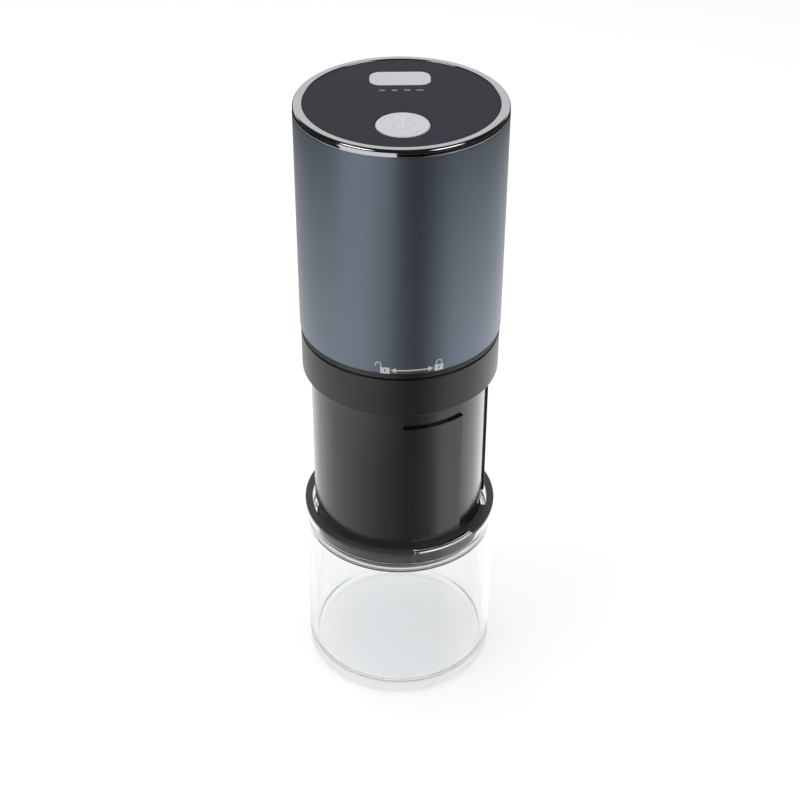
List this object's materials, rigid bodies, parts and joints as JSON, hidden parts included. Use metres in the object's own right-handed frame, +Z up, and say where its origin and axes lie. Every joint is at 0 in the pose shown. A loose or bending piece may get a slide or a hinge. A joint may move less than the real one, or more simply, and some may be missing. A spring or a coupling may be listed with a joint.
{
  "type": "electric coffee grinder",
  "caption": "Slim upright battery coffee grinder: motor housing with top button, black hopper tube that telescopes into a clear cup, conical burrs.",
  "frame": {"origin": "centre of the clear cup's foot, on the surface that the grinder stands on", "axes": "+Z up along the body, -Y to the front where the power button is, +Y to the back where the charging port is"},
  "size_m": [0.0648, 0.0648, 0.2129],
  "materials": {
    "armature_steel": "laminated, lacquered",
    "board_green": "lacquered",
    "bronze": "turned",
    "brush_carbon": "pressed carbon",
    "burr_steel": "ground",
    "button_white": "satin, translucent",
    "can_steel": "zinc plated",
    "cell_wrap": "shrink wrapped",
    "clear_cup": "clear, polished",
    "collar_black": "satin",
    "contact_brass": "plated",
    "dial_plastic": "satin",
    "gasket_silicone": "matt",
    "gear_steel": "hobbed",
    "inner_plastic": "moulded",
    "lamp_clear": "clear",
    "magnet_ferrite": "sintered",
    "panel_charcoal": "fine grain",
    "ring_black": "satin",
    "screw_steel": "zinc plated",
    "shaft_steel": "turned",
    "sleeve_paint": "satin metallic",
    "socket_steel": "nickel plated",
    "spring_steel": "drawn",
    "switch_black": "moulded",
    "trim_chrome": "polished",
    "tube_black": "gloss",
    "window_white": "satin, translucent",
    "wiper_silicone": "translucent, soft"
  },
  "bodies": {
    "cup": {"cup_glass": "clear_cup", "cup_ring": "ring_black"},
    "wiper": {"wiper_ring": "wiper_silicone"},
    "tube": {"hopper_tube": "tube_black", "tube_collar": "collar_black", "bearing_spider": "inner_plastic", "shaft_bush": "bronze", "burr_holder": "inner_plastic", "outer_burr": "burr_steel", "burr_screws": "screw_steel"},
    "shaft": {"grinder_shaft": "shaft_steel", "burr_spring": "spring_steel"},
    "inner_burr": {"inner_burr": "burr_steel"},
    "dial": {"grind_dial": "dial_plastic"},
    "gasket": {"collar_gasket": "gasket_silicone"},
    "housing": {"base_plate": "collar_black", "plate_screws": "screw_steel", "gearbox_screws": "screw_steel", "outer_sleeve": "sleeve_paint", "trim_ring": "trim_chrome", "top_panel": "panel_charcoal", "battery_window": "window_white", "circuit_board": "board_green", "status_lamps": "lamp_clear", "board_screws": "screw_steel", "charge_socket": "socket_steel", "tact_switch": "switch_black", "inner_chassis": "inner_plastic", "battery_cells": "cell_wrap", "cell_contacts": "contact_brass", "board_frame": "inner_plastic", "motor_can": "can_steel", "motor_magnets": "magnet_ferrite", "motor_end_cap": "inner_plastic", "motor_brushes": "brush_carbon", "motor_bushes": "bronze", "ring_gear": "gear_steel", "gearbox_cover": "can_steel", "output_bush": "bronze"},
    "button": {"power_button": "button_white", "switch_plunger": "switch_black"},
    "rotor": {"motor_rotor": "shaft_steel", "motor_armature": "armature_steel", "motor_commutator": "contact_brass"},
    "stage_one": {"carrier_one": "gear_steel"},
    "stage_two": {"carrier_two": "gear_steel", "drive_coupler": "dial_plastic"},
    "planet_1": {"planet_gear_1": "gear_steel"},
    "planet_2": {"planet_gear_2": "gear_steel"},
    "planet_3": {"planet_gear_3": "gear_steel"},
    "planet_4": {"planet_gear_4": "gear_steel"},
    "planet_5": {"planet_gear_5": "gear_steel"},
    "planet_6": {"planet_gear_6": "gear_steel"}
  },
  "joints": [
    {"name": "cup_twist", "type": "hinge", "parent": "cup", "child": "wiper", "pos_m": [0, 0, 0.0584], "axis": [0, 0, 1], "range_deg": [0, 48]},
    {"name": "tube_slide", "type": "slide", "parent": "wiper", "child": "tube", "axis": [0, 0, 1], "range_m": [-0.05225, 0.045]},
    {"name": "housing_twist", "type": "hinge", "parent": "tube", "child": "gasket", "pos_m": [0, 0, 0.135], "axis": [0, 0, 1], "range_deg": [-31, 0]},
    {"name": "housing_lift", "type": "slide", "parent": "gasket", "child": "housing", "axis": [0, 0, 1], "range_m": [0, 0.06]},
    {"name": "button_press", "type": "slide", "parent": "housing", "child": "button", "axis": [0, 0, -1], "range_m": [0, 0.001], "stiffness_N_per_m": 1500, "springref_m": -0.0005},
    {"name": "motor_spin", "type": "hinge", "parent": "housing", "child": "rotor", "pos_m": [0, 0, 0.18], "axis": [0, 0, 1], "continuous": true},
    {"name": "stage_one_spin", "type": "hinge", "parent": "housing", "child": "stage_one", "pos_m": [0, 0, 0.153], "axis": [0, 0, 1], "continuous": true},
    {"name": "stage_two_spin", "type": "hinge", "parent": "housing", "child": "stage_two", "pos_m": [0, 0, 0.144], "axis": [0, 0, 1], "continuous": true},
    {"name": "grinder_spin", "type": "hinge", "parent": "tube", "child": "shaft", "pos_m": [0, 0, 0.09], "axis": [0, 0, 1], "continuous": true},
    {"name": "burr_rise", "type": "slide", "parent": "shaft", "child": "inner_burr", "axis": [0, 0, 1], "range_m": [0, 0.00083], "deforming": ["burr_spring"]},
    {"name": "dial_turn", "type": "hinge", "parent": "inner_burr", "child": "dial", "pos_m": [0, 0, 0.06], "axis": [0, 0, 1], "range_deg": [0, 300]},
    {"name": "planet_1_spin", "type": "hinge", "parent": "stage_one", "child": "planet_1", "pos_m": [0.0075, 0, 0.1559], "axis": [0, 0, 1], "continuous": true},
    {"name": "planet_2_spin", "type": "hinge", "parent": "stage_one", "child": "planet_2", "pos_m": [-0.00375, 0.0065, 0.1559], "axis": [0, 0, 1], "continuous": true},
    {"name": "planet_3_spin", "type": "hinge", "parent": "stage_one", "child": "planet_3", "pos_m": [-0.00375, -0.0065, 0.1559], "axis": [0, 0, 1], "continuous": true},
    {"name": "planet_4_spin", "type": "hinge", "parent": "stage_two", "child": "planet_4", "pos_m": [0.0075, 0, 0.1475], "axis": [0, 0, 1], "continuous": true},
    {"name": "planet_5_spin", "type": "hinge", "parent": "stage_two", "child": "planet_5", "pos_m": [-0.00375, 0.0065, 0.1475], "axis": [0, 0, 1], "continuous": true},
    {"name": "planet_6_spin", "type": "hinge", "parent": "stage_two", "child": "planet_6", "pos_m": [-0.00375, -0.0065, 0.1475], "axis": [0, 0, 1], "continuous": true}
  ],
  "couplings": [
    {"joint": "stage_one_spin", "follows": "motor_spin", "ratio": 0.2},
    {"joint": "stage_two_spin", "follows": "motor_spin", "ratio": 0.04},
    {"joint": "grinder_spin", "follows": "motor_spin", "ratio": 0.04},
    {"joint": "dial_turn", "follows": "burr_rise", "rad_per_m": 6283.2},
    {"joint": "planet_1_spin", "follows": "motor_spin", "ratio": -0.53333},
    {"joint": "planet_2_spin", "follows": "motor_spin", "ratio": -0.53333},
    {"joint": "planet_3_spin", "follows": "motor_spin", "ratio": -0.53333},
    {"joint": "planet_4_spin", "follows": "motor_spin", "ratio": -0.10667},
    {"joint": "planet_5_spin", "follows": "motor_spin", "ratio": -0.10667},
    {"joint": "planet_6_spin", "follows": "motor_spin", "ratio": -0.10667}
  ]
}
